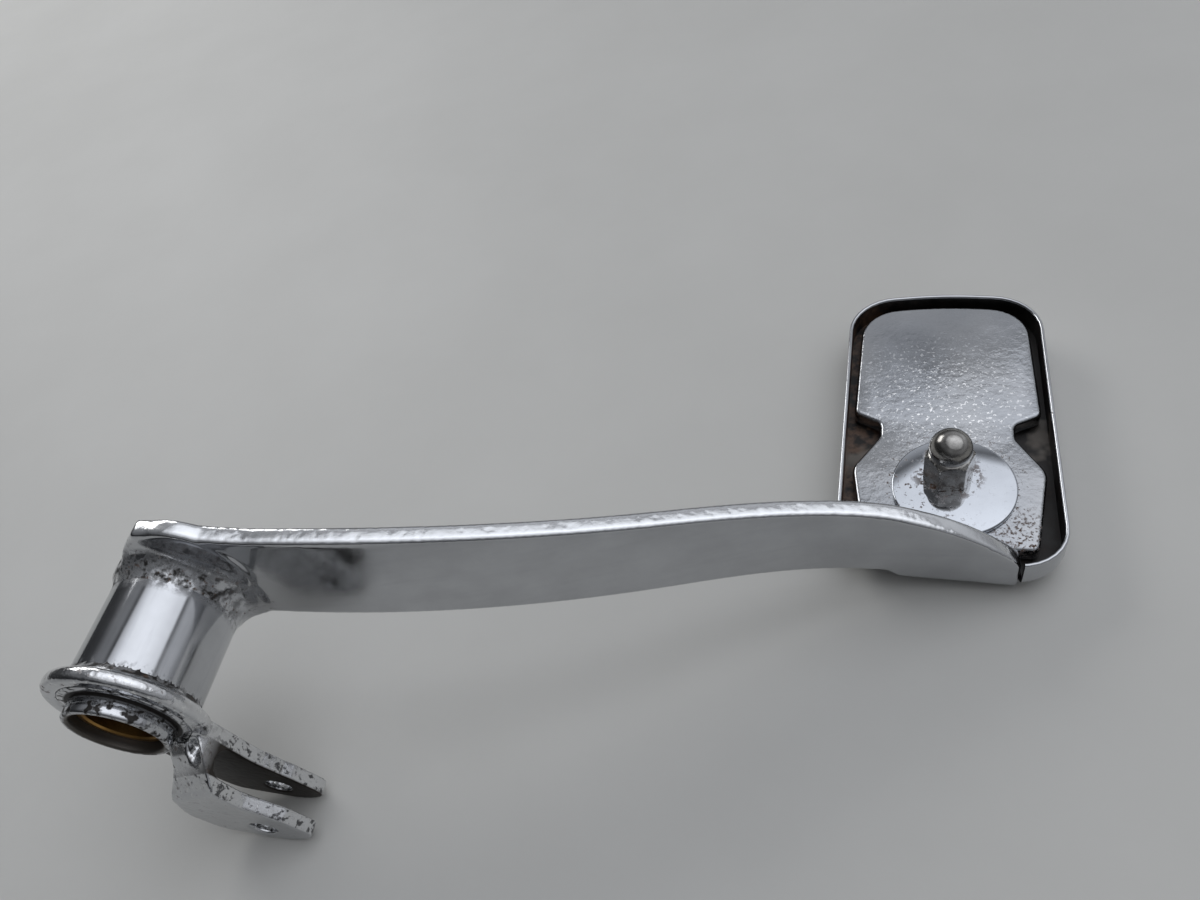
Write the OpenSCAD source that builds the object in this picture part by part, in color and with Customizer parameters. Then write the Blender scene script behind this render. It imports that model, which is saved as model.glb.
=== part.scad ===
// Brake pedal for a motorbike, lying upside down as it was found.
// X runs from the pivot to the pad, Y along the pivot axis, Z up.
// The origin is the middle of the pivot bore.

/* [Pivot tube] */
// Outer diameter of the tube
tube_d = 34; // [28:0.2:41]
// Whole length of the tube with its nose
tube_len = 48; // [40:0.2:58]
// Outer diameter of the reduced nose
nose_d = 27.8; // [26.5:0.1:29]
// Length of the reduced nose
nose_len = 5; // [4:0.5:9]
// Bore of the tube, which holds the bushes
tube_bore = 23.8; // [22:0.1:25]
// Chamfer on the nose
nose_chamfer = 0.6; // [0.2:0.1:1]

/* [Bushes] */
// Bore of each bush, for the pivot shaft
bush_bore = 19.15; // [16:0.05:20.5]
// Length of each bush
bush_len = 15; // [10:0.5:18]
// Depth of each bush below the end of the tube
bush_recess = 3; // [2:0.5:5]
// Radial gap between a bush and the tube
bush_gap = 0.03; // [0.01:0.01:0.05]
// Radial gap between the tube and what is welded to it
weld_gap = 0.02; // [0.01:0.01:0.05]

/* [Fork lever] */
// Width of the flange round the tube
flange_wide = 4.5; // [4:0.1:8]
// Thickness of the flange and of each ear
fork_t = 4.3; // [3.5:0.1:5.5]
// Gap between the ears
ear_gap = 7.6; // [6:0.1:9.5]
// Diameter of the clevis pin hole
pin_hole_d = 7.95; // [6:0.05:9.6]
// Distance of the pin hole from the pivot axis
pin_reach = 50.7; // [42:0.1:61]
// Lean of the lever towards the pad
lever_lean = 24; // [15:0.5:30]
// Length of the ears beyond the pin
ear_tip = 11.8; // [9:0.1:14]
// Width of the ears on the pad's side of the pin
ear_right = 12.4; // [10:0.1:15]
// Width of the ears on the other side
ear_left = 16.5; // [13:0.1:20]
// Width of the lever's waist on the pad's side
ear_waist = 8.8; // [7:0.1:10]
// Width of the web's neck on the other side, below the nose
neck_left = 2.5; // [1:0.1:6]
// Distance of the slot's root from the pivot axis
slot_root = 22.5; // [21.5:0.1:26]
// Distance of the near ear's shoulder from the pivot axis
shoulder = 25.5; // [24:0.1:28]
// Diameter of the blind hole beside the nose
relief_d = 5.2; // [3:0.1:6]
// Radius of the fillet behind the flange
flange_fillet = 4.1; // [3:0.1:6]
// Rounding of the flange's rim
flange_soft = 1.8; // [0.5:0.1:2]

/* [Arm] */
// Thickness of the flat bar
arm_t = 5.6; // [4.5:0.1:7]
// Width of the eye's ring round the tube
eye_wall = 1.5; // [1:0.1:4]
// Radius of the eye's crown
crown_r = 17.8; // [15:0.1:20]
// Distance of the crown's middle from the pivot axis along X
crown_x = 8.5; // [6:0.1:11]
// Height of the crown over the pivot axis
arm_rise = 28.3; // [24:0.1:34]
// Sideways step from the eye to the pad
arm_step = 35.4; // [25:0.2:45]
// Radius of the fillet between tube and arm
arm_fillet = 7; // [4:0.5:8]

/* [Foot plate] */
// Distance of the pad stud from the pivot axis along X
stud_x = 209.2; // [174:0.2:252]
// Distance of the pad stud beyond the arm's face at the pad
stud_out = 30; // [28:0.5:36]
// Turn of the pad about its stud
pad_turn = -3; // [-6:0.5:0]
// Depth of the plate's top face below the pivot axis
plate_drop = 36.5; // [33:0.5:40]
// Thickness of the foot plate
plate_t = 5.5; // [4:0.5:7]
// Width of the foot plate
plate_w = 55; // [46:0.5:66]
// Length of the foot plate beyond the stud
plate_far = 73.8; // [65:0.2:85]
// Length of the foot plate before the stud
plate_near = 31; // [30.5:0.5:34]
// Width left between the two notches
waist_w = 39; // [34:0.5:42]
// Distance of the notches beyond the stud
notch_far = 17.5; // [15:0.5:20]

/* [Pad] */
// Gap all round between the foot plate and the cover's wall
cover_gap = 2.6; // [2:0.1:4]
// Thickness of the cover's wall
cover_wall = 1.2; // [0.8:0.1:1.6]
// Height of the cover's rim over the plate's top face
rim_rise = 2; // [1:0.5:4]
// Thickness of the cover's floor
floor_t = 2.4; // [1.5:0.1:4]
// Depth of the recess under the cover's floor
recess_depth = 2.1; // [1:0.1:3]
// Width of the border round the recess
border_w = 3.5; // [2.5:0.1:6]
// Distance of the cover's near wall before the stud
cover_near = 30.9; // [30:0.1:33]
// Gap round the backing plate and the rubber in their recess
inlay_gap = 0.3; // [0.1:0.1:0.6]
// Thickness of the backing plate
backing_t = 1.6; // [1:0.1:2]
// Thickness of the rubber
rubber_t = 3; // [2:0.1:5]
// Number of cross grooves in the tread
groove_n = 7; // [3:1:9]
// Width of a tread groove
groove_w = 3; // [2:0.5:4]
// Depth of a tread groove
groove_depth = 1.8; // [1:0.1:2.5]

/* [Fixings] */
// Diameter of the pad stud
stud_d = 7.9; // [6:0.1:9]
// Clearance round the stud in plate, tray and washer
stud_clear = 0.4; // [0.2:0.1:0.6]
// Outer diameter of the large washer
washer_d = 34.8; // [28:0.2:38]
// Thickness of the large washer
washer_t = 1.6; // [1.2:0.1:2.4]
// How far the washer's disc sits off the stud, across
washer_off_x = 1.5; // [0:0.5:3]
// How far the washer's disc sits off the stud, towards the arm
washer_off_y = 4; // [0:0.5:6]
// Width of the dome nut across its flats
nut_af = 12.3; // [11:0.1:14]
// Height of the dome nut
nut_h = 18; // [15:0.5:22]
// Height of the nut's flats
nut_hex_h = 10.5; // [8:0.5:13]

/* [Hidden] */
$fn = 96;
eps = 0.01;

// Levels along Y
tube_near = -tube_len / 2;
tube_far = tube_len / 2;
flange_near = tube_near + nose_len;
flange_far = flange_near + fork_t;
near_ear_far = flange_near - ear_gap;
near_ear_near = near_ear_far - fork_t;
eye_inset = 0.4;
arm_near = tube_far - arm_t - eye_inset;
arm_pad_near = arm_near + arm_step;

// Levels along Z
plate_top = -plate_drop;
plate_bottom = plate_top - plate_t;
recess_top = plate_bottom - floor_t;
cover_bottom = recess_top - recess_depth;
backing_bottom = recess_top - backing_t;
pad_bottom = backing_bottom - rubber_t;
rim_top = plate_top + rim_rise;
washer_top = plate_top + washer_t;

// Places along X, the bar ends beyond the stud
arm_end = stud_x + 17;
arm_mid = 0.63 * stud_x;
arm_turn_out = stud_x - 17;
stud_y = arm_pad_near + stud_out;

function unit(v) = v / norm(v);

// The arc that rounds corner b between its neighbours a and c
function corner_arc(a, b, c, r, n = 7) =
    let (
        to_a = unit(a - b),
        to_c = unit(c - b),
        half = acos(to_a * to_c) / 2,
        centre = b + unit(to_a + to_c) * r / sin(half),
        first = b + to_a * r / tan(half) - centre,
        last = b + to_c * r / tan(half) - centre,
        start = atan2(first[1], first[0]),
        turn = (atan2(last[1], last[0]) - start + 540) % 360 - 180
    )
    [for (i = [0:n]) centre + r * [cos(start + turn * i / n), sin(start + turn * i / n)]];

// A closed outline from corners given as [x, y, radius]
function rounded(corners) =
    let (n = len(corners))
    [for (i = [0:n - 1])
        let (
            a = corners[(i + n - 1) % n],
            b = corners[i],
            c = corners[(i + 1) % n]
        )
        each b[2] == 0 ? [[b[0], b[1]]] : corner_arc([a[0], a[1]], [b[0], b[1]], [c[0], c[1]], b[2])];

// A smooth step from p0 to p1 with the slopes s0 and s1
function ease(p0, s0, p1, s1, x) =
    let (
        span = p1[0] - p0[0],
        t = (x - p0[0]) / span
    )
    (2 * pow(t, 3) - 3 * pow(t, 2) + 1) * p0[1]
    + (pow(t, 3) - 2 * pow(t, 2) + t) * span * s0
    + (3 * pow(t, 2) - 2 * pow(t, 3)) * p1[1]
    + (pow(t, 3) - pow(t, 2)) * span * s1;

// Near face of the bar seen from above, with the share of the step reached at its middle point
mid_share = 0.635;
mid_slope = 0.32;
end_slope = -0.025;
bar_start = [14, arm_near];
bar_mid = [arm_mid, arm_near + arm_step * mid_share];
bar_out = [arm_turn_out, arm_pad_near];
function bar_face(x) =
    x < bar_start[0] ? arm_near :
    x < bar_mid[0] ? ease(bar_start, 0.05, bar_mid, mid_slope, x) :
    x < bar_out[0] ? ease(bar_mid, mid_slope, bar_out, 0, x) :
    bar_out[1] + (x - bar_out[0]) * end_slope;
function bar_slope(x) = bar_face(x + 0.5) - bar_face(x - 0.5);
function bar_back(x) =
    let (s = bar_slope(x))
    [x, bar_face(x)] + arm_t * unit([-s, 1]);

// Upper edge of the bar seen from the side, falling slowly to a bend and then to the plate
root_drop = 5.5;
bend_rise = 26.7;
bend_slope = -0.25;
top_start = [30, arm_rise - root_drop];
top_bend = [0.813 * stud_x, plate_top + bend_rise];
top_end = [arm_end, plate_top];
function bar_top(x) =
    x < top_bend[0] ? ease(top_start, -0.13, top_bend, bend_slope, x) :
    ease(top_bend, bend_slope, top_end, -1.1, x);

// The corner where the bar's lower edge meets the foot plate
heel_x = stud_x - plate_w / 2 + 1;
heel_z = plate_bottom + 1;

module along_y(from, to) {
    translate([0, to, 0]) rotate([90, 0, 0]) linear_extrude(to - from) children();
}

// A turned form whose outline gives [radius, height along Y]
module turned() {
    rotate([-90, 0, 0]) rotate_extrude() children();
}

module at_stud() {
    translate([stud_x, stud_y, 0]) rotate([0, 0, pad_turn]) children();
}

module pivot_tube() {
    r = tube_d / 2;
    nose_r = nose_d / 2;
    bore_r = tube_bore / 2;
    color("silver") turned() polygon([
        [bore_r + nose_chamfer, tube_near],
        [nose_r - nose_chamfer, tube_near],
        [nose_r, tube_near + nose_chamfer],
        [nose_r, flange_near],
        [r, flange_near],
        [r, tube_far - nose_chamfer],
        [r - nose_chamfer, tube_far],
        [bore_r + nose_chamfer, tube_far],
        [bore_r, tube_far - nose_chamfer],
        [bore_r, tube_near + nose_chamfer]
    ]);
}

module bush(from) {
    translate([0, from + bush_len, 0]) rotate([90, 0, 0]) difference() {
        cylinder(h = bush_len, d = tube_bore - 2 * bush_gap);
        translate([0, 0, -1]) cylinder(h = bush_len + 2, d = bush_bore);
    }
}

module near_bush() {
    color("peru") bush(tube_near + bush_recess);
}

module far_bush() {
    color("peru") bush(tube_far - bush_recess - bush_len);
}

// The lever is drawn hanging straight down and then leans towards the pad
module leaning() {
    rotate([0, -lever_lean, 0]) children();
}

// Outline of the ears, with the given corners on the left of the neck
module lever_outline(neck) {
    polygon(rounded(concat(neck, [
        [-ear_left, -pin_reach + 14.7, 8],
        [-ear_left + 0.5, -pin_reach + 2.7, 8],
        [2, -pin_reach - ear_tip, 14],
        [ear_right, -pin_reach - ear_tip + 3, 4.5],
        [ear_right - 0.2, -pin_reach + 3.2, 4],
        [ear_waist, -pin_reach + 15.7, 14],
        [ear_right, -slot_root + 4.5, 0],
        [ear_right - 2.4, 0, 0]
    ])));
}

// Side view of the web that carries the near ear forward, [along Y, along the lever]
module fork_profile() {
    low = pin_reach + ear_tip + 1;
    under_nose = nose_d / 2 + 3.6;
    polygon(rounded([
        [flange_near + 1, 0, 0],
        [flange_near + 1, -slot_root - ear_gap, 0],
        [flange_near, -slot_root - ear_gap, 0],
        [flange_near, -slot_root, ear_gap / 2 - eps],
        [near_ear_far, -slot_root, ear_gap / 2 - eps],
        [near_ear_far, -low, 0],
        [near_ear_near, -low, 0],
        [near_ear_near, -shoulder, 5],
        [flange_near - 4, -under_nose, 3],
        [flange_near, -under_nose + 3, 0]
    ]));
}

module flange_section() {
    tube_r = tube_d / 2;
    rim = tube_r + flange_wide;
    flat_r = rim - flange_soft;
    cove_y = sqrt(pow(flange_fillet, 2) - pow(tube_r + flange_fillet - flat_r, 2));
    translate([0, flange_near]) square([flat_r, fork_t]);
    translate([0, flange_near + flange_soft]) square([rim, fork_t - 2 * flange_soft]);
    for (y = [flange_near + flange_soft, flange_far - flange_soft])
        translate([flat_r, y]) circle(flange_soft);
    difference() {
        translate([0, flange_far - eps]) square([flat_r, cove_y]);
        translate([tube_r + flange_fillet, flange_far + cove_y]) circle(flange_fillet);
    }
}

module fork_lever() {
    wide_neck = [[-ear_left + 4, 0, 0]];
    slim_neck = [[-neck_left, 0, 0], [-neck_left, -shoulder + 6, 4], [-ear_left + 7, -shoulder - 1, 6]];
    color("silver") difference() {
        union() {
            turned() flange_section();
            leaning() along_y(flange_near, flange_far) lever_outline(wide_neck);
            leaning() intersection() {
                along_y(near_ear_near - 1, flange_near + 1) lever_outline(slim_neck);
                rotate([90, 0, 90]) translate([0, 0, -40]) linear_extrude(80) fork_profile();
            }
        }
        translate([0, flange_near - 1, 0]) rotate([-90, 0, 0])
            cylinder(h = fork_t + flange_fillet + 2, d = tube_d + 2 * weld_gap);
        translate([0, near_ear_near - 1, 0]) rotate([-90, 0, 0])
            cylinder(h = flange_near - near_ear_near + 1, d = nose_d + 1);
        leaning() translate([0, near_ear_near - 1, -pin_reach]) rotate([-90, 0, 0])
            cylinder(h = flange_far - near_ear_near + 2, d = pin_hole_d);
        leaning() translate([relief_d / 2 + 6, near_ear_far, -slot_root + relief_d / 2 + 2.5]) rotate([-90, 0, 0])
            cylinder(h = ear_gap - 0.8, d = relief_d);
    }
}

// Side outline of the bar, seen along Y
module bar_outline() {
    edge = [for (x = [top_start[0]:5:arm_end]) [x, bar_top(x)]];
    polygon(concat(
        [[crown_x, arm_rise], [crown_x + 10, arm_rise - 3.1]],
        edge,
        [[arm_end, plate_top], [heel_x, plate_top], [heel_x, heel_z], [17, -11], [0, 0]]
    ));
}

module bar_plan() {
    xs = [for (x = [0:4:arm_end]) x];
    polygon(concat(
        [for (x = xs) [x, bar_face(x)]],
        [[arm_end + 1, bar_face(arm_end + 1)], bar_back(arm_end + 1)],
        [for (i = [len(xs) - 1:-1:0]) bar_back(xs[i])]
    ));
}

module eye_outline() {
    circle(d = tube_d + 2 * eye_wall);
    translate([crown_x, arm_rise - crown_r]) circle(crown_r);
}

module arm() {
    face_y = bar_face(0);
    color("silver") difference() {
        union() {
            along_y(face_y, face_y + arm_t) eye_outline();
            intersection() {
                translate([0, 0, plate_bottom - 1]) linear_extrude(arm_rise - plate_bottom + 2) bar_plan();
                along_y(face_y - 5, arm_pad_near + arm_t + 5) bar_outline();
            }
            intersection() {
                turned() difference() {
                    translate([0, face_y - arm_fillet]) square([tube_d / 2 + arm_fillet, arm_fillet + 1]);
                    translate([tube_d / 2 + arm_fillet, face_y - arm_fillet]) circle(arm_fillet);
                }
                along_y(face_y - arm_fillet, face_y + 1) {
                    eye_outline();
                    bar_outline();
                }
            }
        }
        translate([0, tube_near, 0]) rotate([-90, 0, 0])
            cylinder(h = tube_len + 10, d = tube_d + 2 * weld_gap);
    }
}

// Half width of the foot plate at each corner, from the far end to the arm
function plate_corners(grow) =
    let (
        w = plate_w / 2 + grow,
        waist = waist_w / 2 + grow
    )
    [
        [0, plate_far + grow, 120],
        [w - 1.5, plate_far - 2.5 + grow, 13 + grow],
        [w, notch_far + 7.5, 3],
        [waist, notch_far + 3.5, 3],
        [waist, notch_far - 2, 3],
        [w, 3, 7],
        [w - 4, -plate_near + 6, 3],
        [w - 9, -plate_near - grow, 1]
    ];

function mirrored(half) = concat(
    half,
    [for (i = [len(half) - 1:-1:1]) [-half[i][0], half[i][1], half[i][2]]]
);

module foot_plate() {
    color("silver") translate([0, 0, plate_bottom]) at_stud() difference() {
        linear_extrude(plate_t) polygon(rounded(mirrored(plate_corners(0))));
        translate([0, 0, -1]) cylinder(h = plate_t + 2, d = stud_d + 2 * stud_clear);
    }
}

// Outline of the cover and what lies in it, an oblong with a crowned far end
function pad_corners(inset) =
    let (
        w = plate_w / 2 + cover_gap + cover_wall - inset,
        far = plate_far + cover_gap + cover_wall - inset,
        near = cover_near - inset
    )
    [
        [0, far, 120],
        [w - 1, far - 2.5, 16 - inset],
        [w, -near, 14 - inset]
    ];

module pad_shape(inset) {
    polygon(rounded(mirrored(pad_corners(inset))));
}

// A slice of the pad from one level up to another
module pad_layer(from, to, inset) {
    translate([0, 0, from]) linear_extrude(to - from) pad_shape(inset);
}

module stud_hole(from, to, clearance) {
    translate([0, 0, from]) cylinder(h = to - from, d = stud_d + 2 * clearance);
}

module pad_cover() {
    color("silver") difference() {
        at_stud() difference() {
            pad_layer(cover_bottom, rim_top, 0);
            pad_layer(plate_bottom, rim_top + 1, cover_wall);
            pad_layer(cover_bottom - 1, recess_top, border_w);
            stud_hole(cover_bottom, plate_bottom + 1, stud_clear);
        }
        translate([heel_x - 8, arm_near, plate_bottom])
            cube([arm_end + 4 - heel_x + 8, arm_step + arm_t + 1, plate_drop]);
    }
}

module backing_plate() {
    color("dimgray") at_stud() difference() {
        pad_layer(backing_bottom, recess_top, border_w + inlay_gap);
        stud_hole(backing_bottom - 1, recess_top + 1, bush_gap);
    }
}

module rubber_pad() {
    pitch = (plate_far + cover_near) / (groove_n + 1);
    color("dimgray") at_stud() difference() {
        pad_layer(pad_bottom, backing_bottom, border_w + inlay_gap);
        for (i = [1:groove_n])
            translate([-plate_w, -cover_near + i * pitch - groove_w / 2, pad_bottom - 1])
                cube([2 * plate_w, groove_w, groove_depth + 1]);
    }
}

module pad_stud() {
    thread_top = washer_top + nut_hex_h - 2;
    color("gray") at_stud() {
        translate([0, 0, backing_bottom]) cylinder(h = thread_top - backing_bottom, d = stud_d);
    }
}

module large_washer() {
    color("silver") translate([0, 0, plate_top]) at_stud() difference() {
        translate([washer_off_x, -washer_off_y, 0]) cylinder(h = washer_t, d = washer_d);
        translate([0, 0, -1]) cylinder(h = washer_t + 2, d = stud_d + 2 * stud_clear);
    }
}

module dome_nut() {
    dome_r = nut_af / 2;
    color("gray") translate([0, 0, washer_top]) at_stud() difference() {
        union() {
            intersection() {
                rotate([0, 0, 15]) cylinder(h = nut_hex_h, d = nut_af / cos(30), $fn = 6);
                rotate_extrude() polygon([
                    [0, 0],
                    [nut_af / 2 + 0.5, 0],
                    [nut_af / 2 + 1.5, 0.6],
                    [nut_af / 2 + 1.5, nut_hex_h - 1.5],
                    [dome_r - 0.3, nut_hex_h],
                    [0, nut_hex_h]
                ]);
            }
            cylinder(h = nut_h - dome_r, r = dome_r - 0.1);
            translate([0, 0, nut_h - dome_r]) sphere(dome_r - 0.1);
        }
        translate([0, 0, -1]) cylinder(h = nut_hex_h, d = stud_d + 2 * bush_gap);
    }
}

pivot_tube();
fork_lever();
arm();
foot_plate();
near_bush();
far_bush();
pad_cover();
backing_plate();
rubber_pad();
pad_stud();
large_washer();
dome_nut();
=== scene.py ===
import math

import bmesh
import bpy
import numpy as np
from mathutils import Euler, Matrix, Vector, noise


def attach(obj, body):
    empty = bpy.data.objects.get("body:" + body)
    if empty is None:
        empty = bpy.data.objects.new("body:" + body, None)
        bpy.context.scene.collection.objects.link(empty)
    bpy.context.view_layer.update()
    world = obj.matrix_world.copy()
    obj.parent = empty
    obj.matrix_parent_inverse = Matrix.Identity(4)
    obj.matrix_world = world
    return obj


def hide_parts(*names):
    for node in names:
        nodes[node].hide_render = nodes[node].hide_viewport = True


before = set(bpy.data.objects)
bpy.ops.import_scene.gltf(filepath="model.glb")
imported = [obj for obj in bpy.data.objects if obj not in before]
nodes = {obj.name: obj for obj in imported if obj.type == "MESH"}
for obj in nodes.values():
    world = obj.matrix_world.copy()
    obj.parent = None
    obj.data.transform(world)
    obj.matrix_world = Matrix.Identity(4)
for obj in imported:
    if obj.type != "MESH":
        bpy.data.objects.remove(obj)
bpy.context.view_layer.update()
MM = 0.001

# Driving sizes, in millimetres, as in the CAD model, but for the cover's round edge, which is
# this file's own, and the nut, which is a tenth lower
TUBE_R = 17.0
TUBE_NEAR, TUBE_FAR = -24.0, 24.0
NOSE_R = 13.9
NOSE_FAR = TUBE_NEAR + 5.0
BORE_R = 11.9
BUSH_R, BUSH_LEN, BUSH_IN = 9.575, 15.0, 3.0
ARM_T, ARM_NEAR, ARM_STEP = 5.6, 18.0, 35.4
LEVER_LEAN, PIN_REACH = math.radians(24), 50.7
EYE_R, CROWN_R, CROWN_X, CROWN_TOP, FILLET = 18.5, 17.8, 8.5, 28.3, 7.0
CROWN_Z = CROWN_TOP - CROWN_R
STUD_X, STUD_Y, PAD_TURN = 209.2, 83.4, math.radians(-3)
ARM_END = STUD_X + 17
PAD_NEAR = ARM_NEAR + ARM_STEP
PLATE_TOP, PLATE_T = -36.5, 5.5
PLATE_BOTTOM = PLATE_TOP - PLATE_T
PLATE_W, PLATE_FAR, WAIST_W, NOTCH = 55.0, 73.8, 39.0, 17.5
FAR_BOW = 120
RIM_TOP = PLATE_TOP + 2.0
COVER_GAP, COVER_WALL, COVER_NEAR, COVER_ROUND = 2.6, 1.2, 30.9, 5.2
COVER_BOTTOM, RECESS_TOP, RECESS_IN = -46.5, -44.4, 6.4
BACKING_BOTTOM, PAD_BOTTOM, INLAY = -46.0, -49.0, 0.3
GROOVES, GROOVE_W, GROOVE_DEPTH = 7, 3.0, 1.8
STUD_HOLE_R, STUD_FIT_R = 4.35, 3.98
WASHER_R, WASHER_T, WASHER_OFF = 17.4, 1.6, (1.5, -4.0)
NUT_AF, NUT_H, NUT_HEX_H, NUT_TURN = 12.3, 17.9, 10.5, math.radians(-6)


# Outlines in the plane

def unit(v):
    return v / np.linalg.norm(v)


def corner_arc(a, b, c, r, n=8):
    """The arc that rounds corner b between its neighbours a and c."""
    to_a, to_c = unit(a - b), unit(c - b)
    half = math.acos(float(np.clip(to_a @ to_c, -1, 1))) / 2
    centre = b + unit(to_a + to_c) * r / math.sin(half)
    first = b + to_a * r / math.tan(half) - centre
    last = b + to_c * r / math.tan(half) - centre
    start = math.atan2(first[1], first[0])
    turn = (math.atan2(last[1], last[0]) - start + 3 * math.pi) % (2 * math.pi) - math.pi
    angles = [start + turn * i / n for i in range(n + 1)]
    return [centre + r * np.array([math.cos(t), math.sin(t)]) for t in angles]


def rounded(corners):
    points = []
    count = len(corners)
    for i, (x, y, r) in enumerate(corners):
        a, c = corners[i - 1], corners[(i + 1) % count]
        points += corner_arc(np.array(a[:2]), np.array([x, y]), np.array(c[:2]), r)
    return np.array(points)


def offset(outline, inset):
    """The clockwise outline moved inwards along its own normals."""
    ahead = np.roll(outline, -1, axis=0) - outline
    behind = outline - np.roll(outline, 1, axis=0)
    ahead /= np.linalg.norm(ahead, axis=1)[:, None]
    behind /= np.linalg.norm(behind, axis=1)[:, None]
    normal = np.stack([(ahead + behind)[:, 1], -(ahead + behind)[:, 0]], axis=1)
    normal /= np.linalg.norm(normal, axis=1)[:, None]
    slope = np.clip(np.stack([ahead[:, 1], -ahead[:, 0]], axis=1) * normal, -1, 1).sum(1)
    return outline + normal * (inset / np.maximum(slope, 0.5))[:, None]


def mirrored(half):
    return half + [(-x, y, r) for x, y, r in half[:0:-1]]


def pad_ring(inset):
    """The cover's outline, or that of what lies in it."""
    w = PLATE_W / 2 + COVER_GAP + COVER_WALL - inset
    far = PLATE_FAR + COVER_GAP + COVER_WALL - inset
    near = COVER_NEAR - inset
    return rounded(mirrored([(0, far, FAR_BOW), (w - 1, far - 2.5, max(16 - inset, 1)),
                             (w, -near, max(14 - inset, 1))]))


def circle_ring(r, count, centre=(0, 0)):
    angles = [math.pi / 2 - 2 * math.pi * i / count for i in range(count)]
    return np.array([(centre[0] + r * math.cos(t), centre[1] + r * math.sin(t)) for t in angles])


def at_stud(ring, z):
    """A ring drawn round the stud, turned with the pad and laid at height z."""
    c, s = math.cos(PAD_TURN), math.sin(PAD_TURN)
    return np.array([(STUD_X + c * u - s * v, STUD_Y + s * u + c * v, z) for u, v in ring])


# The bar's shape: its face and top as in the CAD model, its lower edge run on past the plate

def ease(p0, s0, p1, s1, x):
    """A curve between two points that leaves each with its own slope."""
    span = p1[0] - p0[0]
    t = (x - p0[0]) / span
    return ((2 * t**3 - 3 * t**2 + 1) * p0[1] + (t**3 - 2 * t**2 + t) * span * s0
            + (3 * t**2 - 2 * t**3) * p1[1] + (t**3 - t**2) * span * s1)


BAR_START = (14, ARM_NEAR)
BAR_MID = (0.63 * STUD_X, ARM_NEAR + ARM_STEP * 0.635)
BAR_OUT = (STUD_X - 17, PAD_NEAR)
START_SLOPE, MID_SLOPE, OUT_SLOPE = 0.05, 0.32, -0.025
TOP_START = (30, CROWN_TOP - 5.5)
TOP_BEND = (0.813 * STUD_X, PLATE_TOP + 26.7)
TOP_END = (ARM_END, PLATE_TOP)
TOP_SLOPE, BEND_SLOPE, END_SLOPE = -0.13, -0.25, -1.1
CREST = [(CROWN_X, CROWN_TOP - 0.3), (CROWN_X + 10, CROWN_TOP - 3.1), TOP_START]
HEEL = [(0, 0), (17, -11), (STUD_X - 18, PLATE_TOP - 4.8), (STUD_X - 15.5, PLATE_TOP - 7.4),
        (ARM_END, PLATE_TOP - 10.6)]


def height_on(line, x):
    return float(np.interp(x, [p[0] for p in line], [p[1] for p in line]))


def bar_face(x):
    if x < BAR_START[0]:
        return ARM_NEAR
    if x < BAR_MID[0]:
        return ease(BAR_START, START_SLOPE, BAR_MID, MID_SLOPE, x)
    if x < BAR_OUT[0]:
        return ease(BAR_MID, MID_SLOPE, BAR_OUT, 0, x)
    return BAR_OUT[1] + (x - BAR_OUT[0]) * OUT_SLOPE


def bar_top(x):
    if x < TOP_START[0]:
        return height_on(CREST, x)
    if x < TOP_BEND[0]:
        return ease(TOP_START, TOP_SLOPE, TOP_BEND, BEND_SLOPE, x)
    return ease(TOP_BEND, BEND_SLOPE, TOP_END, END_SLOPE, x)


# Meshes

def loft(rings, closed=False):
    """Quads between rings of equal length; the ends are capped, or joined to each other."""
    n = len(rings[0])
    verts = [tuple(p) for ring in rings for p in ring]
    faces = []
    spans = len(rings) if closed else len(rings) - 1
    for i in range(spans):
        a, b = i * n, ((i + 1) % len(rings)) * n
        faces += [(a + j, a + (j + 1) % n, b + (j + 1) % n, b + j) for j in range(n)]
    if not closed:
        faces += [tuple(range(n - 1, -1, -1)), tuple(range((len(rings) - 1) * n, len(rings) * n))]
    return verts, faces


def make_mesh(name, *parts, sharp=None):
    """One mesh from several (verts, faces) in millimetres, with its normals turned outwards."""
    verts, faces, base = [], [], 0
    for part_verts, part_faces in parts:
        verts += [(x * MM, y * MM, z * MM) for x, y, z in part_verts]
        faces += [tuple(base + i for i in face) for face in part_faces]
        base = len(verts)
    mesh = bpy.data.meshes.new(name)
    mesh.from_pydata(verts, [], faces)
    work = bmesh.new()
    work.from_mesh(mesh)
    bmesh.ops.recalc_face_normals(work, faces=work.faces)
    work.to_mesh(mesh)
    work.free()
    shade(mesh, sharp)
    return mesh


def shade(mesh, sharp=None):
    mesh.polygons.foreach_set("use_smooth", [True] * len(mesh.polygons))
    if sharp:
        mesh.set_sharp_from_angle(angle=math.radians(sharp))


def add_piece(name, mesh, node, slot, *mats):
    piece = bpy.data.objects.new(name, mesh)
    bpy.context.scene.collection.objects.link(piece)
    mesh.materials.clear()
    for mat in mats:
        mesh.materials.append(mat)
    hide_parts(node)
    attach(piece, "root")
    return piece


def applied(mesh, build):
    """The mesh after the modifiers that build() adds to an object holding it."""
    holder = bpy.data.objects.new("holder", mesh)
    bpy.context.scene.collection.objects.link(holder)
    build(holder)
    bpy.context.view_layer.update()
    graph = bpy.context.evaluated_depsgraph_get()
    result = bpy.data.meshes.new_from_object(holder.evaluated_get(graph))
    bpy.data.objects.remove(holder)
    return result


def softened(mesh, voxel, rounds):
    """Joins overlapping shells into one skin and rounds its edges."""
    def build(holder):
        skin = holder.modifiers.new("skin", "REMESH")
        skin.mode = "VOXEL"
        skin.voxel_size = voxel * MM
        soft = holder.modifiers.new("soft", "SMOOTH")
        soft.factor = 0.5
        soft.iterations = rounds
    result = applied(mesh, build)
    shade(result)
    return result


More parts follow.
